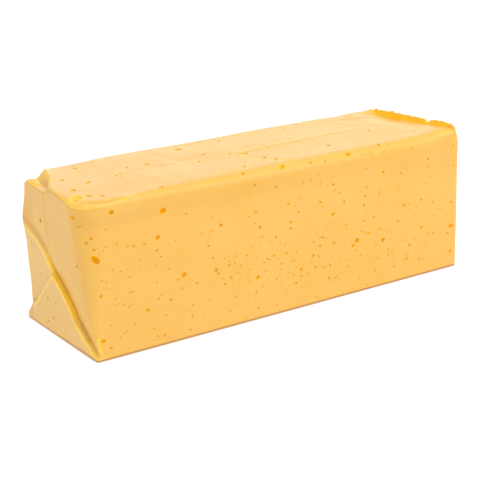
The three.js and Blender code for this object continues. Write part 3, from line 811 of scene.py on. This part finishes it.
def paint_fin_light_and_shade(tints, x, y, z):
    """The fin, with painted bounce light at its foot and a painted highlight and glow where it is thin.
    Gives where the fin is.
    """
    inward = x - far_reach(y, z)
    foot = HEIGHT - 4.6 + 4 * ease(-y, 33, 41)
    face = ease(inward, HALF - FIN_WIDTH - 0.8, HALF - FIN_WIDTH - 0.3)
    back = ease(inward, HALF - 1, HALF - 0.2)
    fin = face * ease(z, foot, foot + 0.5) * (1 - 0.8 * ease(y, 38, 42)) * (1 - 0.7 * back)
    top = HEIGHT + along(FIN_RISE, y)
    thin = np.maximum(0.5 * ease(z, top - 2, top - 0.5), 0.8 * ease(-y, 35, 41))
    tints.lay("rich", fin * (1 - thin))
    tints.lay("edge", fin * thin)
    return fin


def paint_edge_highlights(tints, x, z, normals, fin):
    """Painted highlights on the rounded top edges, set by the way each faces and most on the end at -X, and
    on the near upright edge.
    """
    nx, ny, nz = normals.T
    high = ease(z, HEIGHT - 20, HEIGHT - 12)
    rounding_highlight = (2 * nz * np.hypot(nx, ny)) ** 2 * ease(nz, 0.5, 0.8) * high
    rounding_highlight = rounding_highlight * (0.45 + 1.3 * np.maximum(-nx, 0))
    upright = (2 * nx * ny) ** 2 * (ny < 0) * end_share(x) * ease(z, 0, 20) * (1 - high)
    tints.lay("edge", np.maximum(rounding_highlight, 0.2 * upright) * (1 - fin))


def write_painted_light(mesh, stretch, step):
    """Writes at each corner of the mesh how much painted light and shade of each kind its folds, marks and
    edges give it.
    """
    values = np.empty((2, len(mesh.vertices) * 3))
    mesh.vertices.foreach_get("co", values[0])
    mesh.vertices.foreach_get("normal", values[1])
    places, normals = values.reshape(2, -1, 3)
    p = (places / MM - step) / stretch
    x, y, z = p.T
    tints = PaintedLight(len(p))
    paint_fold_light_and_shade(tints, x, y, z)
    paint_dent_light_and_shade(tints, x, y, z)
    paint_long_side_shade(tints, x, y, z)
    paint_mark_light_and_shade(tints, p)
    fin = paint_fin_light_and_shade(tints, x, y, z)
    paint_edge_highlights(tints, x, z, normals, fin)
    for name, share in tints.shares.items():
        write_floats(mesh, name, "POINT", share)


def write_floats(mesh, name, domain, values):
    """Writes an attribute of plain numbers."""
    attribute = mesh.attributes.new(name, "FLOAT", domain)
    attribute.data.foreach_set("value", values.astype(np.float32))


def cheese_material(look):
    """Processed cheese: pale orange yellow, waxy and dull in its pits, with painted shade, bounce light,
    highlights and glow on its folds, pits and edges.
    """
    material = bpy.data.materials.new("cheese")
    recipe = Recipe(material)
    # The attributes carry painted light and shade: rich is painted bounce light, edge a painted highlight,
    # shade painted shade, flap a paler painted sheen, and pit painted shade and bounce light in the pits.
    rich = recipe.limit(recipe.attribute("rich"))
    edge = recipe.limit(recipe.attribute("edge"))
    shade = recipe.limit(recipe.attribute("shade") * 0.5)
    flap = recipe.attribute("flap")
    pit = recipe.limit(recipe.attribute("pit"))
    place = recipe.node("ShaderNodeTexCoord", output="Object")
    height = recipe.node("ShaderNodeSeparateXYZ", None, {"Vector": place}, "Z")
    on_top = recipe.limit((height - (HEIGHT - 6) * MM) * 400)

    cloud = recipe.noise(place, 22, 3, 0.5)
    mottle = recipe.noise(place, 160, 2, 0.6)
    grain = recipe.noise(place, 900, 2, 0.6)
    cells = recipe.node("ShaderNodeTexVoronoi", {"feature": "F1"}, {
        "Vector": place, "Scale": 420.0, "Randomness": 1.0}, "Distance")
    speck = recipe.limit(1 - cells * 5.5)

    colour = recipe.blend(recipe.limit(cloud * 1.4 - 0.2), opaque(look.pale), opaque(look.body))
    colour = recipe.blend(recipe.limit(mottle * 0.5 - 0.1) * 0.5, colour, opaque(look.warm))
    # Painted sheen, highlights, shade, bounce light and pit shade follow; only the specks are the cheese's
    # own tone.
    colour = recipe.blend(flap * 0.8, colour, opaque(look.flap))
    colour = recipe.blend(edge * 0.7, colour, opaque(look.edge))
    colour = recipe.blend(shade, colour, opaque(look.shade))
    colour = recipe.blend(speck * 0.25, colour, opaque(look.rich))
    colour = recipe.blend(rich, colour, opaque(look.rich))
    colour = recipe.blend(pit, colour, opaque(look.pit))

    roughness = recipe.limit(look.roughness + (mottle - 0.5) * 0.16 + (cloud - 0.5) * 0.1)
    relief = cloud * 0.5 + mottle * 0.22 + grain * 0.05 - speck * 0.12
    bump = recipe.node("ShaderNodeBump", None, {"Strength": 0.35, "Distance": 0.0006, "Height": relief})
    # Painted glow: emission on edges and rims, and in grooves and pits, more in the pits on the top.
    thin = recipe.greater(rich, pit * (0.5 + on_top * 0.5))
    light = recipe.blend(edge, BLACK, opaque(look.edge_light))
    light = recipe.blend(thin, light, opaque(look.rich_light))

    shared = {"Base Color": colour, "Emission Color": light, "Emission Strength": 1.0}
    waxy = recipe.node("ShaderNodeBsdfPrincipled", {"subsurface_method": "RANDOM_WALK"}, {
        **shared, "Roughness": roughness, "Normal": bump, "IOR": 1.5, "Subsurface Weight": look.glow,
        "Subsurface Radius": (1.0, 0.45, 0.1), "Subsurface Scale": look.glow_depth})
    dull = recipe.node("ShaderNodeBsdfPrincipled", None, {
        **shared, "Roughness": 0.9, "Specular IOR Level": 0.0})
    shader = recipe.node("ShaderNodeMixShader", None, {0: recipe.limit(pit * 1.6), 1: waxy, 2: dull})
    recipe.node("ShaderNodeOutputMaterial", None, {"Surface": shader})
    return material


def floor_material(studio):
    """A pale sheet that glows a little, less on the line where the loaf touches it: a painted contact
    shadow.
    """
    material = bpy.data.materials.new("studio_floor")
    recipe = Recipe(material)
    glow = recipe.blend(recipe.attribute("contact"), WHITE, opaque(studio.contact_shadow_glow))
    shader = recipe.node("ShaderNodeBsdfPrincipled", None, {
        "Base Color": opaque(studio.floor), "Roughness": 0.9, "Specular IOR Level": 0.0,
        "Emission Color": glow, "Emission Strength": studio.floor_glow})
    recipe.node("ShaderNodeOutputMaterial", None, {"Surface": shader})
    return material


def build_loaf(shape, look):
    """The loaf as one fine mesh that stands for the solid."""
    q, faces = block_surface()
    places = scarred(*on_loaf(q))
    stretch, step = fitted(places)
    loaf = new_object(LOAF_NAME, mesh_of("loaf_plain", places * stretch + step, faces))
    balls, ball_faces, turns = pit_balls(shape)
    cutter = new_object("pit_balls", mesh_of("pit_balls", balls * stretch + step, ball_faces))
    mesh = cut_pits(loaf, cutter)
    mark_pits(mesh, [(turn, size, middle * stretch + step) for turn, size, middle in turns])
    write_painted_light(mesh, stretch, step)
    mesh.shade_smooth()
    mesh.set_sharp_from_angle(angle=math.radians(38))
    mesh.materials.clear()
    mesh.materials.append(cheese_material(look))
    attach(loaf, "root")
    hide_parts("cheese_loaf")
    return loaf


def foot_ring():
    """Where the loaf meets the floor, as a ring of places seen from above, and the way out of it there."""
    mesh = bpy.data.objects[LOAF_NAME].data
    places = np.empty(len(mesh.vertices) * 3)
    mesh.vertices.foreach_get("co", places)
    places = places.reshape(-1, 3)
    low = places[places[:, 2] < places[:, 2].min() + FOOT_HEIGHT][:, :2]
    ring = low[convex_hull_2d(low.tolist())]
    way = np.roll(ring, -1, axis=0) - np.roll(ring, 1, axis=0)
    out = np.stack([way[:, 1], -way[:, 0]], axis=1) / np.linalg.norm(way, axis=1, keepdims=True)
    return ring, out * np.sign((out * (ring - ring.mean(axis=0))).sum(axis=1, keepdims=True))


def build_floor(studio):
    """A wide flat floor under the loaf, with less glow where the loaf touches it, a painted contact shadow.
    """
    ring, out = foot_ring()
    far = studio.floor_reach * ring / np.linalg.norm(ring, axis=1, keepdims=True)
    rings = [ring + reach * out for reach in (*CONTACT_SHADOW_LINE, studio.contact)] + [far]
    count = len(ring)
    places = [(x, y, 0) for places in rings for x, y in places.tolist()]
    faces = [tuple(range(count))]
    for first in range(0, 3 * count, count):
        for i in range(count):
            j = (i + 1) % count
            faces.append((first + i, first + count + i, first + count + j, first + j))
    mesh = bpy.data.meshes.new("studio_floor")
    mesh.from_pydata(places, [], faces)
    # The painted contact shadow: full on the two inner rings, none from the third ring out.
    write_floats(mesh, "contact", "POINT", np.repeat([1.0, 1.0, 0.0, 0.0], count))
    mesh.materials.append(floor_material(studio))
    floor = new_object("studio_floor", mesh)
    floor.location.z = SOLID_BOX[0][2] - FLOOR_GAP
    return floor


def add_softbox(name, power, azimuth, elevation, distance, size):
    """A square softbox that faces the middle of the loaf. Azimuth 0 is in front, 90 to the right."""
    light = bpy.data.lights.new(name, "AREA")
    light.shape = "SQUARE"
    light.size = size
    light.energy = power
    lamp = new_object(name, light)
    low, high = SOLID_BOX
    middle = (Vector(low) + Vector(high)) / 2
    side, up = math.radians(azimuth), math.radians(elevation)
    way = Vector((math.sin(side) * math.cos(up), -math.cos(side) * math.cos(up), math.sin(up)))
    lamp.location = middle + way * distance
    lamp.rotation_euler = way.to_track_quat("Z", "Y").to_euler()
    return lamp


def build_world(studio):
    """Pale light from all round, stronger from above and just over the floor's edge."""
    world = bpy.data.worlds.new("studio_world")
    bpy.context.scene.world = world
    recipe = Recipe(world)
    way = recipe.node("ShaderNodeTexCoord", output="Generated")
    up = recipe.limit(recipe.node("ShaderNodeSeparateXYZ", None, {"Vector": way}, "Z"))
    low = recipe.limit(1 - up * 4)
    strength = studio.world_light + up * up * studio.sky_light + low * low * studio.horizon_light
    shader = recipe.node("ShaderNodeBackground", None, {"Color": WHITE, "Strength": strength})
    recipe.node("ShaderNodeOutputWorld", None, {"Surface": shader})


def build_camera(studio):
    """The camera of the photograph's view, from its place, its angles and its lens."""
    data = bpy.data.cameras.new("camera")
    data.lens = studio.lens
    data.sensor_width = SENSOR_WIDTH
    camera = new_object("camera", data)
    turn = (Matrix.Rotation(-studio.azimuth, 3, "Z")
            @ Matrix.Rotation(math.pi / 2 - studio.elevation, 3, "X")
            @ Matrix.Rotation(studio.roll, 3, "Z"))
    camera.location = studio.eye
    camera.rotation_euler = turn.to_euler()
    bpy.context.scene.camera = camera
    return camera


class LoafShape(bpy.types.PropertyGroup):
    """Numbers of the small gas pits."""
    seed: IntProperty(
        name="Seed", description="Draw of the small pits", default=7, min=0)
    near_pits: IntProperty(
        name="Front pits",
        description="Small pits over the long side at -Y. Half as many are added in its middle",
        default=260, min=0)
    back_pits: IntProperty(
        name="Back pits", description="Pits on the long side at +Y", default=160, min=0)
    top_pits: IntProperty(
        name="Top pits", description="Small pits on the top", default=50, min=0)
    end_pits: IntProperty(
        name="End pits", description="Small pits on each end", default=26, min=0)


class CheeseLook(bpy.types.PropertyGroup):
    """Colours and finish of the cheese, with the colours of its painted light and shade."""
    body: FloatVectorProperty(
        name="Body", description="Colour of most of the cheese",
        default=(0.91, 0.5, 0.075), subtype="COLOR")
    pale: FloatVectorProperty(
        name="Pale", description="Palest colour of the surface",
        default=(0.92, 0.545, 0.12), subtype="COLOR")
    warm: FloatVectorProperty(
        name="Warm", description="Warmer mottling",
        default=(0.9, 0.455, 0.055), subtype="COLOR")
    # Painted sheen: the flaps under the long fold are made paler, as if they caught more light from the
    # white floor.
    flap: FloatVectorProperty(
        name="Flap", description="Colour of the flaps under the long fold",
        default=(0.92, 0.575, 0.15), subtype="COLOR")
    # Painted bounce light in grooves, on fold walls and under thin cheese.
    rich: FloatVectorProperty(
        name="Rich", description="Colour in folds and where the cheese is thin",
        default=(0.97, 0.56, 0.0), subtype="COLOR")
    # Painted shade and bounce light inside the pits.
    pit: FloatVectorProperty(
        name="Pit", description="Colour inside the pits",
        default=(0.84, 0.425, 0.0), subtype="COLOR")
    # Painted highlight on rounded edges, rims and ridges.
    edge: FloatVectorProperty(
        name="Edge", description="Colour of rounded edges and rims",
        default=(0.95, 0.59, 0.07), subtype="COLOR")
    # Painted shade in folds, hollows and the dent, under the near top edge, and on the foot.
    shade: FloatVectorProperty(
        name="Shade", description="Colour where the film was pressed in",
        default=(0.66, 0.3, 0.04), subtype="COLOR")
    # Painted glow on edges and rims.
    edge_light: FloatVectorProperty(
        name="Edge light", description="Light that comes through edges and rims",
        default=(0.18, 0.13, 0.03), subtype="COLOR")
    # Painted glow in grooves, folds and pits.
    rich_light: FloatVectorProperty(
        name="Rich light", description="Light that comes through into folds and pits",
        default=(0.28, 0.17, 0.0), subtype="COLOR")
    roughness: FloatProperty(
        name="Roughness", description="Middle roughness",
        default=0.42, min=0, max=1, subtype="FACTOR")
    glow: FloatProperty(
        name="Glow", description="Share of light that passes under the surface",
        default=0.3, min=0, max=1, subtype="FACTOR")
    glow_depth: FloatProperty(
        name="Glow depth", description="How far that light goes",
        default=0.004, min=0, unit="LENGTH")


class StudioSet(bpy.types.PropertyGroup):
    """The floor, the lights and the camera."""
    floor: FloatVectorProperty(
        name="Floor", description="Colour of the floor",
        default=(0.35, 0.35, 0.35), subtype="COLOR")
    floor_glow: FloatProperty(
        name="Floor glow", description="Light from the floor itself", default=0.86, min=0)
    floor_reach: FloatProperty(
        name="Floor reach", description="Half the floor's width",
        default=12, min=1, unit="LENGTH")
    # Painted contact shadow: how wide it is, and the dimmed colour of the floor's glow on it.
    contact: FloatProperty(
        name="Contact", description="Width of the dark line round the foot",
        default=0.0016, min=0.0003, unit="LENGTH")
    contact_shadow_glow: FloatVectorProperty(
        name="Contact glow", description="Colour of the floor's light on that line",
        default=(0.45, 0.24, 0.1), subtype="COLOR")
    world_light: FloatProperty(
        name="World", description="Light from all round", default=0.38, min=0)
    sky_light: FloatProperty(
        name="Sky", description="Light added from above", default=0.4, min=0)
    horizon_light: FloatProperty(
        name="Horizon", description="Light added just over the floor's edge", default=0.55, min=0)
    top_power: FloatProperty(
        name="Top softbox", description="Its power", default=1.6, min=0, subtype="POWER")
    front_power: FloatProperty(
        name="Front softbox", description="Its power", default=6.3, min=0, subtype="POWER")
    back_power: FloatProperty(
        name="Back softbox", description="Its power", default=8, min=0, subtype="POWER")
    eye: FloatVectorProperty(
        name="Eye", description="Place of the camera",
        default=(-0.3991, -0.6072, 0.2883), subtype="TRANSLATION", unit="LENGTH")
    azimuth: FloatProperty(
        name="Azimuth", description="Turn of the view from +Y towards +X",
        default=math.radians(32.875), subtype="ANGLE")
    elevation: FloatProperty(
        name="Elevation", description="How far the camera looks down",
        default=math.radians(19.312), subtype="ANGLE")
    roll: FloatProperty(
        name="Roll", description="Tilt of the camera",
        default=math.radians(-1), subtype="ANGLE")
    lens: FloatProperty(
        name="Lens", description="Focal length of the camera",
        default=91.37, min=1, unit="CAMERA")


class CHEESE_OT_loaf(bpy.types.Operator):
    """Builds the loaf with its folds and pits"""
    bl_idname = "cheese.loaf"
    bl_label = "Loaf"

    def execute(self, context):
        build_loaf(context.scene.cheese_shape, context.scene.cheese_look)
        return {"FINISHED"}


class CHEESE_OT_stage(bpy.types.Operator):
    """Builds the floor, the lights and the camera. The loaf has to be there first"""
    bl_idname = "cheese.stage"
    bl_label = "Stage"

    def execute(self, context):
        if LOAF_NAME not in bpy.data.objects:
            raise RuntimeError("The loaf comes before the stage, because the floor follows its foot.")
        studio = context.scene.cheese_studio
        build_floor(studio)
        build_world(studio)
        for name, place in SOFTBOXES.items():
            add_softbox(name + "_softbox", getattr(studio, name + "_power"), **place)
        build_camera(studio)
        context.scene.view_settings.view_transform = "Standard"
        return {"FINISHED"}


class CHEESE_PT_panel(bpy.types.Panel):
    """Lists the steps and the values that they use"""
    bl_label = "Cheese Loaf"
    bl_idname = "CHEESE_PT_panel"
    bl_space_type = "VIEW_3D"
    bl_region_type = "UI"
    bl_category = "Cheese"

    def draw(self, context):
        for operator, group in ((CHEESE_OT_loaf, context.scene.cheese_shape),
                                (None, context.scene.cheese_look),
                                (CHEESE_OT_stage, context.scene.cheese_studio)):
            box = self.layout.box()
            if operator:
                box.operator(operator.bl_idname)
            for name in group.bl_rna.properties.keys():
                if name not in ("rna_type", "name"):
                    box.prop(group, name)


CLASSES = (LoafShape, CheeseLook, StudioSet, CHEESE_OT_loaf, CHEESE_OT_stage, CHEESE_PT_panel)


def register():
    """Adds the classes and the values to Blender."""
    for cls in CLASSES:
        bpy.utils.register_class(cls)
    bpy.types.Scene.cheese_shape = PointerProperty(type=LoafShape)
    bpy.types.Scene.cheese_look = PointerProperty(type=CheeseLook)
    bpy.types.Scene.cheese_studio = PointerProperty(type=StudioSet)


def unregister():
    """Takes them out again."""
    del bpy.types.Scene.cheese_studio
    del bpy.types.Scene.cheese_look
    del bpy.types.Scene.cheese_shape
    for cls in reversed(CLASSES):
        bpy.utils.unregister_class(cls)


def main():
    """Builds the loaf and the stage."""
    register()
    bpy.ops.cheese.loaf()
    bpy.ops.cheese.stage()


if __name__ == "__main__":
    main()
